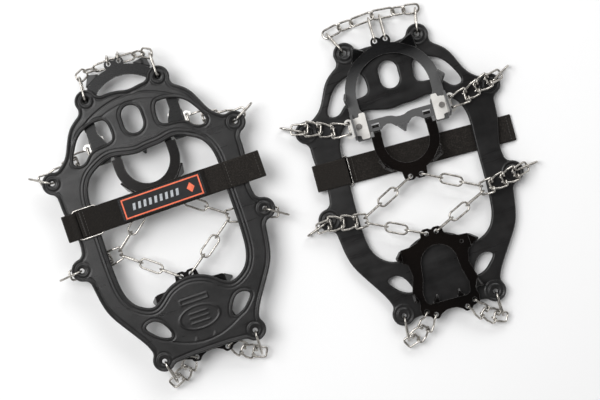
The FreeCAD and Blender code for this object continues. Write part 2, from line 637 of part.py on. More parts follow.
def pair():
    nodes = {"right_" + name: shape for name, shape in cleat(LIES["right"]).items()}
    for name, shape in cleat(LIES["left"]).items():
        nodes["left_" + name] = lay_over(shape)
    box = Part.makeCompound(list(nodes.values())).BoundBox
    middle = Vector((box.XMin + box.XMax) / 2, (box.YMin + box.YMax) / 2, box.ZMin)
    for shape in nodes.values():
        shape.translate(middle * -1)
    return nodes, middle


if __name__ == "__main__":
    os.makedirs("parts", exist_ok=True)
    solids, origin = pair()
    for name, shape in solids.items():
        print(name, shape.isValid(), len(shape.Solids), round(shape.Volume, 1))
        shape.exportStep("parts/" + name + ".step")
    print("frame origin", origin)
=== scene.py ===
"""The looks of a pair of trail ice cleats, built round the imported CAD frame.

Each cleat is described in its own frame: millimetres, spikes down, toe along +Y, the harness
centred on X = 0.  The right cleat lies like that; the left one is its mirror image, spikes up.
"""
import math
import bpy
import numpy as np
from mathutils import Matrix, Vector


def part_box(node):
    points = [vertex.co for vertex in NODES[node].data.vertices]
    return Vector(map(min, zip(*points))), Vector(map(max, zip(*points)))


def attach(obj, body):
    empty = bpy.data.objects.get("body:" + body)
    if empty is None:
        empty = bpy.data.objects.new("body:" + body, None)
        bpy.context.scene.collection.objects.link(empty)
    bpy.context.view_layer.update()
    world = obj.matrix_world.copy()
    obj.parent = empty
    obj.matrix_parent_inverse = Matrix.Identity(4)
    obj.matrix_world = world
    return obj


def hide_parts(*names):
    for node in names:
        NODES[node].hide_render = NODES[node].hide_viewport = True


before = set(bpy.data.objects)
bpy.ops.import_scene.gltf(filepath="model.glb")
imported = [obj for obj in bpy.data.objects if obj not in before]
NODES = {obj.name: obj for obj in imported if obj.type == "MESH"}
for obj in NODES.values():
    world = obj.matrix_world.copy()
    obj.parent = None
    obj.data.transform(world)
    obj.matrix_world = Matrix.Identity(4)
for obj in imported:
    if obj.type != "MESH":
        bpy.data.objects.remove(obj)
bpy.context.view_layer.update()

SIDES = ("right", "left")
MM = 0.001

# ---- sizes in the cleat's own frame (mm), as in the CAD ------------------------------------
HARNESS_BOTTOM = 20.3
HARNESS_TOP = 24.1
STACK_TOP = 29.0
EYELETS = [(35, 124), (88, 62), (88, -22), (44, -124.5)]
LEFT_OFFSET = (231.1, -36.6)
LEFT_TURN = math.radians(-4.0)
WEBBING = 25.0
STRAP_Y = 18.0
STRAP_LEFT, STRAP_TURN = -56.1, 99.0      # the lower layer, and where its free end folds back
STRAP_MID, STRAP_THICK = 26.25, 1.1
STRAP_DOUBLED = 64.5                      # inner end of the folded layer
FOLD_RISE = 1.15                          # from the lower layer's middle to the folded one's
FLAP_LEFT, FLAP_RIGHT = -76.6, 46.0
FLAP_MID, FLAP_THICK = 28.0, 1.0
LABEL_LEFT, LABEL_RIGHT = -37.0, 43.5
LABEL_HALF = 10.5
LABEL_MID, LABEL_THICK = 28.78, 0.55
PRINT_BASE, PRINT_THICK = 29.05, 0.14      # the label's raised print
BARS, BAR_PITCH, BAR_WIDTH, BAR_SLANT, BAR_HALF = 9, 5.2, 2.6, 1.3, 3.1
LOOP_THICK = 1.0
SELVEDGE = 1.1                            # from a tape's edge to a row of stitches across it

# ---- placing -------------------------------------------------------------------------------
HARNESS_FRONT = 134.5                     # foremost point of the front lobes
LOW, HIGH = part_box("right_harness")
ORIGIN = Vector(((LOW.x + HIGH.x) / 2, HIGH.y - HARNESS_FRONT * MM, LOW.z - HARNESS_BOTTOM * MM))


def placed(points, side):
    """Points of one cleat, in its own millimetres, where they lie in the frame, in metres."""
    points = np.asarray(points, float).copy()
    if side == "left":
        points[:, 2] = STACK_TOP - points[:, 2]
        c, s = math.cos(LEFT_TURN), math.sin(LEFT_TURN)
        x = points[:, 0] * c - points[:, 1] * s + LEFT_OFFSET[0]
        y = points[:, 0] * s + points[:, 1] * c + LEFT_OFFSET[1]
        points[:, 0], points[:, 1] = x, y
    return points * MM + np.array(ORIGIN)


def to_own(points):
    """Points of the frame back in the right cleat's own millimetres."""
    return (np.asarray(points, float) - np.array(ORIGIN)) / MM


def add_mesh(name, side, points, faces, body, material, slot, smooth=True):
    mesh = bpy.data.meshes.new(side + "_" + name)
    if side == "left":
        faces = [tuple(reversed(f)) for f in faces]
    mesh.from_pydata([tuple(p) for p in placed(points, side)], [], faces)
    mesh.validate()
    mesh.polygons.foreach_set("use_smooth", [smooth] * len(mesh.polygons))
    mesh.materials.append(material)
    piece = bpy.data.objects.new(side + "_" + name, mesh)
    bpy.context.scene.collection.objects.link(piece)
    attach(piece, side + "_" + body)
    return piece


# ---- materials -----------------------------------------------------------------------------
class Nodes:
    """A material's node tree, with short calls for the nodes used here."""

    def __init__(self, name):
        self.material = bpy.data.materials.new(name)
        self.material.use_nodes = True
        self.tree = self.material.node_tree
        self.shader = self.tree.nodes["Principled BSDF"]
        self.place = self.tree.nodes.new("ShaderNodeTexCoord").outputs["Object"]

    def link(self, a, b):
        self.tree.links.new(a, b)

    def set(self, **values):
        for key, value in values.items():
            self.shader.inputs[key.replace("_", " ")].default_value = value
        return self

    def noise(self, scale, detail=3.0, rough=0.55, place=None):
        node = self.tree.nodes.new("ShaderNodeTexNoise")
        node.inputs["Scale"].default_value = scale
        node.inputs["Detail"].default_value = detail
        node.inputs["Roughness"].default_value = rough
        self.link(place or self.place, node.inputs["Vector"])
        return node.outputs["Fac"]

    def wave(self, scale, place, distortion=0.0):
        node = self.tree.nodes.new("ShaderNodeTexWave")
        node.inputs["Scale"].default_value = scale
        node.inputs["Distortion"].default_value = distortion
        self.link(place, node.inputs["Vector"])
        return node.outputs["Fac"]

    def turned(self, angle, stretch=(1, 1, 1)):
        node = self.tree.nodes.new("ShaderNodeMapping")
        node.inputs["Rotation"].default_value = (0, 0, angle)
        node.inputs["Scale"].default_value = stretch
        self.link(self.place, node.inputs["Vector"])
        return node.outputs["Vector"]

    def ramp(self, value, low, high, start=0.0, end=1.0):
        """A number or colour that goes from low to high as value goes from start to end."""
        node = self.tree.nodes.new("ShaderNodeValToRGB")
        stops = node.color_ramp.elements
        for stop, at, level in ((stops[0], start, low), (stops[1], end, high)):
            stop.position = at
            stop.color = (level,) * 3 + (1,) if isinstance(level, float) else tuple(level) + (1,)
        self.link(value, node.inputs["Fac"])
        return node.outputs["Color"]

    def along(self, axis, start, end):
        """0 to 1 as the place goes from start to end (metres) along X, Y or Z."""
        split = self.tree.nodes.new("ShaderNodeSeparateXYZ")
        self.link(self.place, split.inputs[0])
        node = self.tree.nodes.new("ShaderNodeMapRange")
        node.inputs["From Min"].default_value = start
        node.inputs["From Max"].default_value = end
        self.link(split.outputs[axis], node.inputs["Value"])
        return node.outputs["Result"]

    def math(self, kind, a, b):
        node = self.tree.nodes.new("ShaderNodeMath")
        node.operation = kind
        for socket, value in zip(node.inputs, (a, b)):
            if isinstance(value, (int, float)):
                socket.default_value = value
            else:
                self.link(value, socket)
        return node.outputs[0]

    def mix(self, factor, a, b):
        node = self.tree.nodes.new("ShaderNodeMix")
        node.data_type = "RGBA"
        self.link(factor, node.inputs[0])
        for socket, value in ((node.inputs[6], a), (node.inputs[7], b)):
            if isinstance(value, tuple):
                socket.default_value = value + (1,)
            else:
                self.link(value, socket)
        return node.outputs[2]

    def edge(self, radius, start=0.02, end=0.22):
        """1 near sharp edges and 0 on flat faces."""
        bevel = self.tree.nodes.new("ShaderNodeBevel")
        bevel.inputs["Radius"].default_value = radius
        bevel.samples = 4
        plain = self.tree.nodes.new("ShaderNodeNewGeometry")
        dot = self.tree.nodes.new("ShaderNodeVectorMath")
        dot.operation = "DOT_PRODUCT"
        self.link(bevel.outputs["Normal"], dot.inputs[0])
        self.link(plain.outputs["Normal"], dot.inputs[1])
        bend = self.math("SUBTRACT", 1.0, dot.outputs["Value"])
        return self.ramp(bend, 0.0, 1.0, start, end)

    def colour(self, value):
        self.link(value, self.shader.inputs["Base Color"])

    def rough(self, value):
        self.link(value, self.shader.inputs["Roughness"])

    def bump(self, height, strength, distance):
        node = self.tree.nodes.new("ShaderNodeBump")
        node.inputs["Strength"].default_value = strength
        node.inputs["Distance"].default_value = distance
        self.link(height, node.inputs["Height"])
        self.link(node.outputs["Normal"], self.shader.inputs["Normal"])
        return self


def rubber():
    """Moulded black rubber: satin, faintly mottled, with a fine grain."""
    n = Nodes("moulded_rubber")
    n.set(Specular_IOR_Level=0.31)
    broad = n.noise(38, 4)
    n.colour(n.ramp(broad, (0.0055, 0.0052, 0.0052), (0.0185, 0.0178, 0.0178), 0.3, 0.7))
    streaks = n.noise(20, 5, place=n.turned(0.3, (1, 7, 1)))
    n.rough(n.ramp(streaks, 0.24, 0.42, 0.3, 0.7))
    n.bump(n.noise(1300, 2), 0.35, 0.0002)
    return n.material


def webbing(name, turn, pile):
    """Black woven tape with cross ribs; pile 1 is the loop side's speckled fuzz."""
    n = Nodes(name)
    n.set(Specular_IOR_Level=0.15, Sheen_Weight=0.12, Sheen_Roughness=0.5)
    n.shader.inputs["Sheen Tint"].default_value = (0.6, 0.58, 0.55, 1)
    along = n.turned(-turn)
    across = n.turned(-turn + math.pi / 2)
    ribs = n.wave(250, along, 1.2)
    warp = n.wave(480, across, 0.6)
    fuzz = n.noise(1900, 3, 0.7)
    weave = n.math("ADD", n.math("MULTIPLY", ribs, 1.0 - 0.7 * pile), n.math("MULTIPLY", warp, 0.45))
    height = n.math("ADD", weave, n.math("MULTIPLY", fuzz, 0.8 + 1.6 * pile))
    speck = n.ramp(n.noise(1300, 2, 0.8), 0.0, 1.0, 0.48, 0.72)
    ground = n.ramp(height, (0.0025, 0.0022, 0.002), (0.0105, 0.009, 0.008), 0.3, 1.0)
    n.colour(n.mix(n.math("MULTIPLY", speck, 0.6 * pile + 0.25), ground, (0.055, 0.047, 0.04)))
    n.rough(n.ramp(fuzz, 0.78, 0.96))
    n.bump(height, 0.7, 0.00035)
    return n.material


def label_cloth(turn):
    n = Nodes("label_cloth")
    n.set(Specular_IOR_Level=0.35)
    twill = n.wave(700, n.turned(-turn + 0.8), 0.2)
    n.colour(n.ramp(twill, (0.004, 0.004, 0.0045), (0.013, 0.013, 0.0145)))
    n.rough(n.ramp(n.noise(90, 3), 0.55, 0.75))
    n.bump(twill, 0.4, 0.0002)
    return n.material


def print_ink(name, colour, shade):
    """Thick printed or woven trim on the label, slightly uneven."""
    n = Nodes(name)
    n.colour(n.ramp(n.noise(500, 3), shade, colour, 0.3, 0.6))
    n.rough(n.ramp(n.noise(120, 2), 0.45, 0.65))
    n.bump(n.noise(1800, 2), 0.3, 0.0001)
    return n.material


def thread():
    n = Nodes("stitch_thread")
    n.set(Specular_IOR_Level=0.4)
    twist = n.wave(1400, n.turned(0.6), 0.5)
    n.colour(n.ramp(twist, (0.025, 0.024, 0.023), (0.085, 0.08, 0.075)))
    n.rough(n.ramp(n.noise(300, 2), 0.5, 0.7))
    n.bump(twist, 0.4, 0.0001)
    return n.material


def coated_steel(name, dark, light, rough_low, rough_high, scuff, fade=None):
    """Black coated steel, worn to bare metal along the edges; fade is where a painted sheen in the light
    colour turns dark along Y.
    """
    n = Nodes(name)
    n.set(Specular_IOR_Level=0.14, Coat_Weight=0.04, Coat_Roughness=0.2)
    drift = n.noise(14, 2)
    scuffs = n.noise(260, 5, 0.7, n.turned(0.7, (1, 5, 1)))
    if fade:
        # Painted sheen: the face keeps the light colour before the start of fade and turns dark past its
        # end.
        drift = n.math("ADD", n.math("MULTIPLY", drift, 0.25), n.math("MULTIPLY", n.along("Y", *fade), 0.75))
        face = n.ramp(drift, light, dark, 0.15, 0.9)
    else:
        face = n.ramp(drift, dark, light, 0.35, 0.65)
    scuffed = n.mix(n.math("MULTIPLY", n.ramp(scuffs, 0.0, 1.0, 0.6, 0.8), scuff), face, (0.12, 0.12, 0.12))
    wear = n.math("MULTIPLY", n.edge(0.0007), n.ramp(n.noise(320, 4), 0.2, 1.0, 0.4, 0.62))
    n.colour(n.mix(n.math("MULTIPLY", wear, 0.7), scuffed, (0.42, 0.41, 0.4)))
    n.link(n.math("MULTIPLY", wear, 0.8), n.shader.inputs["Metallic"])
    n.rough(n.ramp(scuffs, rough_low, rough_high, 0.3, 0.75))
    n.bump(n.noise(900, 2), 0.06, 0.0001)
    return n.material


def bright_plate():
    """Stamped stainless: bright, faintly brushed, duller where it has rubbed."""
    n = Nodes("stainless_tag")
    n.set(Metallic=0.35, Specular_IOR_Level=0.8)
    brushed = n.noise(420, 4, 0.6, n.turned(0.1, (1, 14, 1)))
    n.colour(n.ramp(n.noise(60, 3), (0.74, 0.72, 0.68), (0.93, 0.91, 0.87), 0.35, 0.65))
    n.rough(n.ramp(brushed, 0.26, 0.44, 0.3, 0.7))
    n.bump(brushed, 0.12, 0.00015)
    return n.material


def bright_wire(name, dark, light, rough):
    """Nickel-bright chain wire with darker patches scattered at random."""
    n = Nodes(name)
    n.set(Metallic=1.0)
    patches = n.noise(170, 4, 0.6)
    n.colour(n.ramp(patches, dark, light, 0.32, 0.62))
    n.rough(n.ramp(n.noise(700, 3), rough, rough + 0.12, 0.3, 0.7))
    n.bump(n.noise(1200, 2), 0.04, 0.0001)
    return n.material


RUBBER = rubber()
THREAD = thread()
ORANGE = print_ink("coral_trim", (0.82, 0.16, 0.07), (0.66, 0.11, 0.045))
SILVER = print_ink("grey_trim", (0.42, 0.44, 0.46), (0.27, 0.29, 0.31))
PLATE = coated_steel("coated_steel", (0.0022, 0.0018, 0.0018), (0.0050, 0.0036, 0.0030), 0.2, 0.3, 0.02)
# Front plates get a painted sheen: grey on the arms, darkening towards the toe, paler on the left cleat than
# on the right for how the light falls on each.
FRONT_PLATE = {}
for SIDE, near, far, grey in (("right", 100.0, 122.0, 0.012), ("left", 46.0, 76.0, 0.095)):
    FRONT_PLATE[SIDE] = coated_steel("coated_steel_front_" + SIDE, (0.0035, 0.0035, 0.0038), (grey,) * 3,
                                     0.24, 0.36, 0.1, [ORIGIN.y + y * MM for y in (near, far)])
TAG = bright_plate()
CHAIN = bright_wire("chain_wire", (0.24, 0.225, 0.205), (0.56, 0.535, 0.495), 0.2)
RIVET = bright_wire("rivet_steel", (0.2, 0.19, 0.18), (0.42, 0.4, 0.38), 0.3)
RING = bright_wire("ring_wire", (0.2, 0.19, 0.18), (0.5, 0.48, 0.45), 0.14)
TAPE = {"right": webbing("webbing", 0.0, 0.15), "left": webbing("webbing_turned", LEFT_TURN, 0.15)}
PILE = {"right": webbing("webbing_pile", 0.0, 1.0), "left": webbing("webbing_pile_turned", LEFT_TURN, 1.0)}
LABEL = {"right": label_cloth(0.0), "left": label_cloth(LEFT_TURN)}


# ---- harness: a moulded sheet with beads, grooves, rims and bosses --------------------------
GRID = 0.72
EYE_RADIUS = 2.3
EYE_SHIFTS = [(0.0, 0.9), (0.8, 0.4), (0.85, -0.2), (0.0, -0.9)]   # the pull of the chains, per eyelet
TOP_ROUND = 1.2
BOTTOM_ROUND = 1.5


def outline_loops(node, height):
    """Boundary loops, in own-frame XY, of a node's flat face at that own-frame height."""
    mesh = NODES[node].data
    points = to_own([v.co for v in mesh.vertices])
    flat = np.abs(points[:, 2] - height) < 0.01
    keys = [tuple(p) for p in np.round(points[:, :2], 3)]
    edges = set()
    for polygon in mesh.polygons:
        if all(flat[i] for i in polygon.vertices):
            ids = [keys[i] for i in polygon.vertices]
            for a, b in zip(ids, ids[1:] + ids[:1]):
                if (b, a) in edges:
                    edges.remove((b, a))
                else:
                    edges.add((a, b))
    follow = dict(edges)
    loops = []
    while follow:
        start, point = next(iter(follow.items()))
        del follow[start]
        loop = [start]
        while point != start and point in follow:
            loop.append(point)
            point = follow.pop(point)
        if len(loop) > 5:
            loops.append(np.array(loop))
    return sorted(loops, key=lambda loop: -np.ptp(loop[:, 0]) * np.ptp(loop[:, 1]))


def nearest(points, loop):
    """Distance from each point to a closed loop, and the loop's nearest point."""
    a, b = loop, np.roll(loop, -1, axis=0)
    run = b - a
    length = np.maximum((run ** 2).sum(1), 1e-12)
    best = np.full(len(points), 1e9)
    foot = np.zeros_like(points)
    for i in range(0, len(points), 4000):
        part = points[i:i + 4000, None, :]
        t = np.clip(((part - a) * run).sum(2) / length, 0, 1)
        near = a + t[..., None] * run
        far = ((part - near) ** 2).sum(2)
        pick = far.argmin(1)
        rows = np.arange(len(pick))
        best[i:i + 4000] = np.sqrt(far[rows, pick])
        foot[i:i + 4000] = near[rows, pick]
    return best, foot


def within(points, loop):
    a, b = loop, np.roll(loop, -1, axis=0)
    inside = np.zeros(len(points), bool)
    for (x0, y0), (x1, y1) in zip(a, b):
        if y0 != y1:
            crosses = (points[:, 1] < y0) != (points[:, 1] < y1)
            inside ^= crosses & (points[:, 0] < x0 + (points[:, 1] - y0) * (x1 - x0) / (y1 - y0))
    return inside


def ridge(distance, centre, half, height):
    """A rounded ridge, or a groove if height is negative, that far from a line."""
    return height * np.cos(np.clip((distance - centre) / half, -1, 1) * math.pi / 2) ** 2


def rounding(distance, radius):
    d = np.clip(distance, 0, radius)
    return radius - np.sqrt(np.maximum(radius ** 2 - (radius - d) ** 2, 0))


def eyelet_distance(x, y):
    far = np.full(len(x), 1e9)
    for ex, ey in EYELETS:
        for sign in (-1, 1):
            far = np.minimum(far, np.hypot(x - sign * ex, y - ey))
    return far


def top_relief(x, y, outer, opening, windows, eyelet):
    """Height of the moulded details on the shoe side."""
    clear = np.clip((eyelet - 6.5) / 3.0, 0, 1)
    relief = ridge(outer, 1.4, 1.3, 0.65) * clear + ridge(outer, 3.8, 1.1, -0.6) * clear
    relief += ridge(opening, 1.3, 1.2, 0.5) + ridge(opening, 3.4, 1.0, -0.55)
    relief += ridge(opening, 6.4, 0.9, -0.3)
    relief += ridge(windows, 1.2, 1.1, 0.65) + ridge(windows, 3.0, 0.9, -0.4)
    relief += ridge(eyelet, 5.2, 1.3, 0.9) + ridge(eyelet, 7.4, 0.9, -0.45)
    toe = np.abs(y - (117.5 - 0.0072 * x ** 2))
    relief += ridge(toe, 0, 1.0, -0.55) * (np.abs(x) < 44) * (y > 90)
    toe_low = np.abs(y - (111.0 - 0.0078 * x ** 2))
    relief += ridge(toe_low, 0, 0.8, -0.3) * (np.abs(x) < 34) * (y > 90)
    heel = np.abs(y - (-119.5 + 0.0088 * x ** 2))
    relief += ridge(heel, 0, 1.0, -0.55) * (np.abs(x) < 44) * (y < -90)
    oval = np.abs(np.hypot(x / 19.0, (y + 97) / 10.5) - 1) * 13
    relief += ridge(oval, 0, 1.1, 0.45)
    for row in (-101.5, -97, -92.5):
        relief += ridge(np.abs(y - row), 0, 0.9, 0.35) * (np.abs(x) < 9)
    frame_y, frame_x = np.abs(y + 80) - 2.2, np.abs(x) - 13
    relief += ridge(np.abs(np.maximum(frame_x, frame_y)), 0, 0.9, 0.35) * (y < -70)
    for sign in (-1, 1):
        wedge = np.maximum(np.abs(x - sign * 9) * 1.6 + (y + 114.5), -(y + 114.5) - 2.5)
        relief += np.clip(0.6 - wedge * 0.5, 0, 0.35) * (np.abs(x - sign * 9) < 5) * (y < -108)
    return relief


def under_relief(eyelet):
    """Depth of the ground side's details: two rings round each eyelet."""
    return ridge(eyelet, 5.2, 1.2, -0.75) + ridge(eyelet, 7.2, 0.9, 0.55) + ridge(eyelet, 9.0, 1.1, -0.65)


def harness_mesh():
    """A grid snapped to the CAD outline and holes, its two faces shaped by the reliefs."""
    loops = outline_loops("right_harness", HARNESS_BOTTOM)
    outer, opening = loops[0], loops[1]
    holes = [loop for loop in loops[2:] if np.ptp(loop[:, 0]) > 10]
    turn = np.linspace(0, 2 * math.pi, 24, endpoint=False)
    circle = EYE_RADIUS * np.column_stack([np.cos(turn), np.sin(turn)])
    eyes = [circle + (sign * (ex + sx), ey + sy) for (ex, ey), (sx, sy) in zip(EYELETS, EYE_SHIFTS)
            for sign in (-1, 1)]
    xs = np.arange(outer[:, 0].min() - GRID, outer[:, 0].max() + GRID * 1.5, GRID)
    ys = np.arange(outer[:, 1].min() - GRID, outer[:, 1].max() + GRID * 1.5, GRID)
    gx, gy = np.meshgrid(xs, ys, indexing="ij")
    grid = np.column_stack([gx.ravel(), gy.ravel()])
    signed, foot = nearest(grid, outer)
    signed = np.where(within(grid, outer), signed, -signed)
    for loop in [opening] + holes + eyes:
        far, near = nearest(grid, loop)
        far = np.where(within(grid, loop), -far, far)
        closer = far < signed
        signed = np.where(closer, far, signed)
        foot[closer] = near[closer]
    rows, columns = gx.shape
    index = np.arange(rows * columns).reshape(rows, columns)
    cells = np.stack([index[:-1, :-1], index[1:, :-1], index[1:, 1:], index[:-1, 1:]], -1).reshape(-1, 4)
    cells = cells[signed[cells].mean(1) > 0]
    edges = {}
    for cell in cells.tolist():
        for a, b in zip(cell, cell[1:] + cell[:1]):
            if (b, a) in edges:
                del edges[b, a]
            else:
                edges[a, b] = True
    rim = np.array(sorted({a for a, _ in edges}))
    place = grid.copy()
    place[rim] = foot[rim]
    used = np.unique(cells)
    renumber = np.full(len(grid), -1)
    renumber[used] = np.arange(len(used))
    flat = place[used]
    cells = renumber[cells]
    walls = [(renumber[a], renumber[b]) for a, b in edges]
    x, y = flat[:, 0], flat[:, 1]
    depth = np.maximum(signed[used], 0)
    depth[np.isin(used, rim)] = 0
    from_outer = nearest(flat, outer)[0]
    from_opening = nearest(flat, opening)[0]
    from_holes = np.min([nearest(flat, loop)[0] for loop in holes], axis=0)
    eyelet = eyelet_distance(x, y)
    fade = np.clip(depth / 0.8, 0, 1)
    top = HARNESS_TOP - rounding(depth, TOP_ROUND)
    top += top_relief(x, y, from_outer, from_opening, from_holes, eyelet) * fade
    low = HARNESS_BOTTOM + rounding(depth, BOTTOM_ROUND) + under_relief(eyelet) * fade
    count = len(used)
    points = np.vstack([np.column_stack([x, y, top]), np.column_stack([x, y, low])])
    faces = [tuple(c) for c in cells.tolist()]
    faces += [tuple(i + count for i in reversed(c)) for c in cells.tolist()]
    faces += [(b, a, a + count, b + count) for a, b in walls]
    return points, faces


# ---- webbing -------------------------------------------------------------------------------
def swept_band(path, half, thick, closed=False, lateral=STRAP_Y, ripple=0.0, seed=1):
    """A tape swept along a path of (x, z), with rounded selvedges; path is its middle line."""
    path = np.asarray(path, float)
    count = len(path)
    after = np.roll(path, -1, axis=0)
    before = np.roll(path, 1, axis=0)
    if not closed:
        after[-1], before[0] = path[-1], path[0]
    run = after - before
    run /= np.linalg.norm(run, axis=1)[:, None]
    normal = np.column_stack([-run[:, 1], run[:, 0]])
    steps = np.linspace(-1, 1, 25)
    edge = np.sqrt(np.clip(1 - np.clip((np.abs(steps) - 0.94) / 0.06, 0, 1) ** 2, 0, 1))
    phases = np.random.default_rng(seed).uniform(0, 6.28, 3)
    section = []
    for s, e in zip(steps, edge):
        section.append((s * half, max(e, 0.12) * thick / 2))
    for s, e in zip(steps[::-1], edge[::-1]):
        section.append((s * half, -max(e, 0.12) * thick / 2))
    points = []
    for i in range(count):
        for y, h in section:
            lift = ripple * (math.sin(path[i, 0] * 0.11 + phases[0] + y * 0.10)
                             + 0.6 * math.sin(path[i, 0] * 0.23 - y * 0.17 + phases[1]))
            bow = ripple * 0.7 * math.sin(path[i, 0] * 0.045 + phases[2])
            p = path[i] + normal[i] * (h + lift)
            points.append((p[0], lateral + y + bow, p[1]))
    m = len(section)
    faces = []
    for i in range(count if closed else count - 1):
        j = (i + 1) % count
        for k in range(m):
            q = (k + 1) % m
            faces.append((i * m + k, j * m + k, j * m + q, i * m + q))
    if not closed:
        for i, order in ((0, 1), (count - 1, -1)):
            for k in range(len(steps) - 1):
                face = (i * m + k, i * m + k + 1, i * m + m - 2 - k, i * m + m - 1 - k)
                faces.append(face if order > 0 else tuple(reversed(face)))
    return np.array(points), faces


def arc(cx, cz, radius, start, end, count=8):
    """Points of an arc, with its angles in degrees."""
    return [(cx + radius * math.cos(math.radians(a)), cz + radius * math.sin(math.radians(a)))
            for a in np.linspace(start, end, count)]


def spaced(points, step=1.5):
    """The same line with points no further apart than step."""
    out = [points[0]]
    for a, b in zip(points, points[1:]):
        far = math.hypot(b[0] - a[0], b[1] - a[1])
        parts = max(1, int(math.ceil(far / step)))
        out += [(a[0] + (b[0] - a[0]) * i / parts, a[1] + (b[1] - a[1]) * i / parts)
                for i in range(1, parts + 1)]
    return out


def stitch_row(points, length=1.9, gap=0.9, radius=0.27):
    """Short thread stitches along an own-frame line of 3D points."""
    verts, faces = [], []
    line = [Vector(p) for p in points]
    for a, b in zip(line, line[1:]):
        run = b - a
        total = run.length
        run.normalize()
        up = Vector((0, 0, 1))
        across = run.cross(up).normalized()
        parts = max(1, round(total / (length + gap)))
        pitch = total / parts
        for i in range(parts):
            start = a + run * (i * pitch + gap / 2)
            base = len(verts)
            for k, (t, r) in enumerate(((0, 0.35), (0.15, 0.85), (0.5, 1.0), (0.85, 0.85), (1, 0.35))):
                centre = start + run * (pitch - gap) * t - up * (0.25 * (1 - r))
                for q in range(6):
                    angle = q * math.pi / 3
                    verts.append(tuple(centre + across * math.cos(angle) * radius * r
                                       + up * math.sin(angle) * radius * r))
            for k in range(4):
                for q in range(6):
                    n = (q + 1) % 6
                    near = base + k * 6
                    faces.append((near + q, near + n, near + 6 + n, near + 6 + q))
            faces.append(tuple(base + q for q in reversed(range(6))))
            faces.append(tuple(base + 24 + q for q in range(6)))
    return np.array(verts), faces


def joined(parts):
    """Several meshes as one."""
    verts, faces, base = [], [], 0
    for v, f in parts:
        verts.append(v)
        faces += [tuple(i + base for i in face) for face in f]
        base += len(v)
    return np.vstack(verts), faces


def raised_outline(x0, x1, y0, y1, z, width, thick):
    """A flat rectangular line of that width, standing thick above z."""
    rings = [(0.0, 0.0), (0.12, thick), (width - 0.12, thick), (width, 0.0)]
    verts = []
    for inset, up in rings:
        for x, y in ((x0 + inset, y0 + inset), (x1 - inset, y0 + inset), (x1 - inset, y1 - inset),
                     (x0 + inset, y1 - inset)):
            verts.append((x, y, z + up))
    faces = []
    for r in range(3):
        for k in range(4):
            n = (k + 1) % 4
            faces.append((r * 4 + k, r * 4 + n, r * 4 + 4 + n, r * 4 + 4 + k))
    faces += [(12 + k, 12 + (k + 1) % 4, (k + 1) % 4, k) for k in range(4)]
    return np.array(verts), faces


def raised_patch(corners, z, thick):
    """A convex flat shape with a small bevel, standing thick above z."""
    centre = np.mean(corners, axis=0)
    inner = [tuple(c + (centre - c) * 0.08) for c in np.array(corners, float)]
    count = len(corners)
    verts = [(x, y, z) for x, y in corners] + [(x, y, z + thick) for x, y in inner]
    faces = [tuple(range(count, 2 * count)), tuple(reversed(range(count)))]
    faces += [(k, (k + 1) % count, (k + 1) % count + count, k + count) for k in range(count)]
    return np.array(verts), faces


# ---- build both cleats ---------------------------------------------------------------------
HARNESS_POINTS, HARNESS_FACES = harness_mesh()


def rail_loop_path():
    """Round the inner rail: over it, down its outer edge, back beneath and up again."""
    top, bottom = HARNESS_TOP + 0.75, HARNESS_BOTTOM - 0.6
    left, right, r = -91.0, -60.2, 1.7
    path = arc(right - r, top - r, r, 0, 90) + arc(left + r, top - r, r, 90, 180)
    path += arc(left + r, bottom + r, r, 180, 270) + arc(right - r, bottom + r, r, 270, 360)
    return spaced(path + path[:1])[:-1]


def tapes(side):
    """The rail loop with its fold round the ring, the two strap layers and the flap."""
    loop_band = swept_band(rail_loop_path(), WEBBING / 2, LOOP_THICK, closed=True)
    loop = add_mesh("rail_loop_band", side, *loop_band, "harness_body", PILE[side], "webbing")
    fold = spaced([(-90.2, 25.6), (-84.5, 26.0)] + arc(-80.0, 26.3, 1.75, 125, -15) + [(-77.8, 25.6)], 0.8)
    fold_band = swept_band(fold, WEBBING / 2 - 0.3, 0.9)
    add_mesh("rail_loop_fold", side, *fold_band, "harness_body", TAPE[side], "webbing")
    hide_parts(side + "_rail_loop")

    lower = [(x, STRAP_MID) for x in np.linspace(STRAP_LEFT, STRAP_TURN, 105)]
    folded = arc(STRAP_TURN, STRAP_MID + 0.6, 0.6, -90, 90, 6) + [(STRAP_DOUBLED, STRAP_MID + FOLD_RISE)]
    strap_band = swept_band(spaced(lower + folded), WEBBING / 2, STRAP_THICK, ripple=0.12)
    main = add_mesh("strap_band", side, *strap_band, "harness_body", PILE[side], "webbing")
    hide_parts(side + "_strap")

    flap_path = spaced([(FLAP_LEFT, FLAP_MID - 0.1), (FLAP_RIGHT, FLAP_MID)])
    flap_band = swept_band(flap_path, WEBBING / 2, FLAP_THICK, ripple=0.08, seed=3)
    flap = add_mesh("strap_flap_band", side, *flap_band, "flap_body", TAPE[side], "webbing")
    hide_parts(side + "_strap_flap")


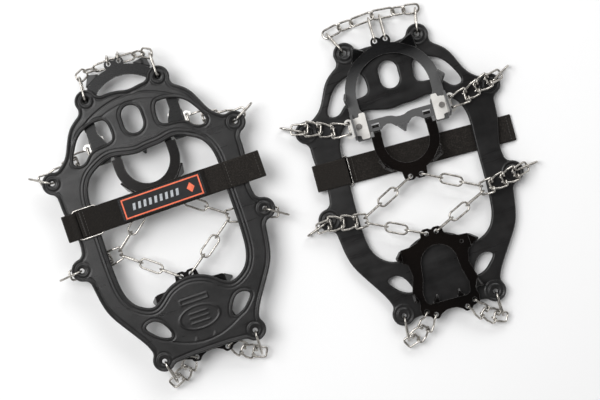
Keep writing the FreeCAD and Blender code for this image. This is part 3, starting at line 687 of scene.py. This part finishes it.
def label(side):
    """The sewn patch, with a coloured outline, a row of slanted bars and a diamond."""
    patch_path = spaced([(LABEL_LEFT, LABEL_MID), (LABEL_RIGHT, LABEL_MID)])
    patch_band = swept_band(patch_path, LABEL_HALF, LABEL_THICK)
    patch = add_mesh("strap_label_patch", side, *patch_band, "flap_body", LABEL[side], "label")
    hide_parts(side + "_strap_label")

    half = LABEL_HALF - 1.2
    outline = raised_outline(-34.0, 41.0, STRAP_Y - half, STRAP_Y + half, PRINT_BASE, 1.3, PRINT_THICK)
    add_mesh("label_outline", side, *outline, "flap_body", ORANGE, "label", smooth=False)

    low, high = STRAP_Y - BAR_HALF, STRAP_Y + BAR_HALF
    bars = []
    for i in range(BARS):
        x = -25.5 + i * BAR_PITCH
        corners = [(x, low), (x + BAR_WIDTH, low), (x + BAR_WIDTH + BAR_SLANT, high), (x + BAR_SLANT, high)]
        bars.append(raised_patch(corners, PRINT_BASE, PRINT_THICK))
    add_mesh("label_bars", side, *joined(bars), "flap_body", SILVER, "label", smooth=False)

    centre, wide, tall = 31.0, 3.8, 4.8
    corners = [(centre - wide, STRAP_Y), (centre, STRAP_Y - tall), (centre + wide, STRAP_Y),
               (centre, STRAP_Y + tall)]
    diamond = raised_patch(corners, PRINT_BASE, PRINT_THICK)
    add_mesh("label_diamond", side, *diamond, "flap_body", ORANGE, "label", smooth=False)


def across(x, half, z):
    """A line across the strap."""
    return [(x, STRAP_Y - half, z), (x, STRAP_Y + half, z)]


def stitches(side):
    """A zigzag and a row at the flap's end, a row round the label, and rows across the strap."""
    top = FLAP_MID + FLAP_THICK / 2 + 0.02
    half = WEBBING / 2 - SELVEDGE
    teeth = 12
    zigzag = [(-74.6 if i % 2 else -72.6, STRAP_Y - half + 2 * half * i / (teeth * 2), top)
              for i in range(teeth * 2 + 1)]
    rows = [stitch_row(zigzag, length=1.4, gap=0.4), stitch_row(across(-70.3, half, top))]
    sunk = 28.9
    left, right = LABEL_LEFT + 1.2, LABEL_RIGHT - 1.1
    for x in (left, right):
        rows.append(stitch_row(across(x, 9.6, sunk)))
    for y in (STRAP_Y - 9.95, STRAP_Y + 9.95):
        rows.append(stitch_row([(left, y, sunk), (right, y, sunk)]))
    add_mesh("flap_stitches", side, *joined(rows), "flap_body", THREAD, "webbing")

    above = STRAP_MID + FOLD_RISE + STRAP_THICK / 2
    below = STRAP_MID - STRAP_THICK / 2 - 0.02
    half = WEBBING / 2 - 1.3
    rows = [stitch_row(across(x, half, above)) for x in (67.0, 95.5)]
    rows += [stitch_row(across(x, half, below)) for x in (STRAP_LEFT + 2.5, 67.0, 95.5)]
    add_mesh("strap_stitches", side, *joined(rows), "harness_body", THREAD, "webbing")


def build(side):
    harness = add_mesh("harness_skin", side, HARNESS_POINTS, HARNESS_FACES, "harness_body", RUBBER, "rubber")
    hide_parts(side + "_harness")
    tapes(side)
    label(side)
    stitches(side)


for SIDE in SIDES:
    build(SIDE)

# ---- metal parts: the CAD solids with their finish and softened edges -----------------------
FINISH = {"strap_ring": RING, "heel_plate": PLATE, "forefoot_rear_plate": PLATE,
          "inner_tag": TAG, "outer_tag": TAG, "tag_rivets": RIVET}
for name, node in NODES.items():
    if node.hide_render:
        continue
    side, part = name.split("_", 1)
    node.data.materials.clear()
    finish = FRONT_PLATE[side] if part == "forefoot_front_plate" else FINISH.get(part, CHAIN)
    node.data.materials.append(finish)
    if part.endswith(("_plate", "_tag")):
        bevel = node.modifiers.new("edges", "BEVEL")
        bevel.width = 0.00022
        bevel.segments = 2
        bevel.limit_method = "ANGLE"
        bevel.angle_limit = math.radians(35)
        bevel.harden_normals = True

# ---- floor, light and camera ---------------------------------------------------------------
CAMERA_RIGHT = Vector((0.9458, -0.3247, 0))
CAMERA_UP = Vector((0.3247, 0.9458, 0))
AIM = ORIGIN + Vector((121.8, -25.6, 0)) * MM
CAMERA_HEIGHT = 1.35
FIELD = 0.552
SUBJECT_HEIGHT = 0.022


def floor():
    material = Nodes("paper_sweep")
    material.set(Specular_IOR_Level=0.1)
    material.colour(material.ramp(material.noise(3, 2), (0.86, 0.86, 0.86), (0.9, 0.9, 0.9)))
    material.rough(material.ramp(material.noise(40, 2), 0.85, 0.95))
    mesh = bpy.data.meshes.new("floor")
    size = 8.0
    corners = [(-size, -size, 0), (size, -size, 0), (size, size, 0), (-size, size, 0)]
    mesh.from_pydata(corners, [], [(0, 1, 2, 3)])
    mesh.materials.append(material.material)
    piece = bpy.data.objects.new("floor", mesh)
    bpy.context.scene.collection.objects.link(piece)


def area_light(name, place, size, power, colour=(1, 1, 1)):
    data = bpy.data.lights.new(name, "AREA")
    data.shape = "RECTANGLE"
    data.size, data.size_y = size
    data.energy = power
    data.color = colour
    lamp = bpy.data.objects.new(name, data)
    lamp.location = place
    lamp.rotation_euler = (AIM - Vector(place)).to_track_quat("-Z", "Y").to_euler()
    bpy.context.scene.collection.objects.link(lamp)


def room():
    world = bpy.data.worlds.new("studio")
    world.use_nodes = True
    tree = world.node_tree
    split = tree.nodes.new("ShaderNodeSeparateXYZ")
    tree.links.new(tree.nodes.new("ShaderNodeTexCoord").outputs["Generated"], split.inputs[0])
    sky = tree.nodes.new("ShaderNodeValToRGB")
    stops = sky.color_ramp.elements
    stops[0].position, stops[0].color = 0.55, (0.95, 0.95, 0.95, 1)
    stops[1].position, stops[1].color = 0.93, (0.12, 0.12, 0.125, 1)
    tree.links.new(split.outputs["Z"], sky.inputs["Fac"])
    tree.links.new(sky.outputs["Color"], tree.nodes["Background"].inputs["Color"])
    tree.nodes["Background"].inputs["Strength"].default_value = 0.62
    bpy.context.scene.world = world
    key = AIM - CAMERA_RIGHT * 1.0 + CAMERA_UP * 0.3 + Vector((0, 0, 1.8))
    area_light("key", key, (1.1, 1.3), 34)
    fill = AIM + CAMERA_RIGHT * 0.3 + CAMERA_UP * 1.6 + Vector((0, 0, 1.3))
    area_light("fill", fill, (1.6, 0.8), 16)


def camera():
    data = bpy.data.cameras.new("camera")
    data.sensor_width = 36
    data.lens = 36 * (CAMERA_HEIGHT - SUBJECT_HEIGHT) / FIELD
    data.clip_start = 0.05
    eye = bpy.data.objects.new("camera", data)
    back = Vector((0, 0, 1))
    turn = Matrix((CAMERA_RIGHT, CAMERA_UP, back)).transposed().to_4x4()
    eye.matrix_world = Matrix.Translation(Vector((AIM.x, AIM.y, CAMERA_HEIGHT))) @ turn
    bpy.context.scene.collection.objects.link(eye)
    bpy.context.scene.camera = eye


floor()
room()
camera()
bpy.context.scene.view_settings.view_transform = "Standard"
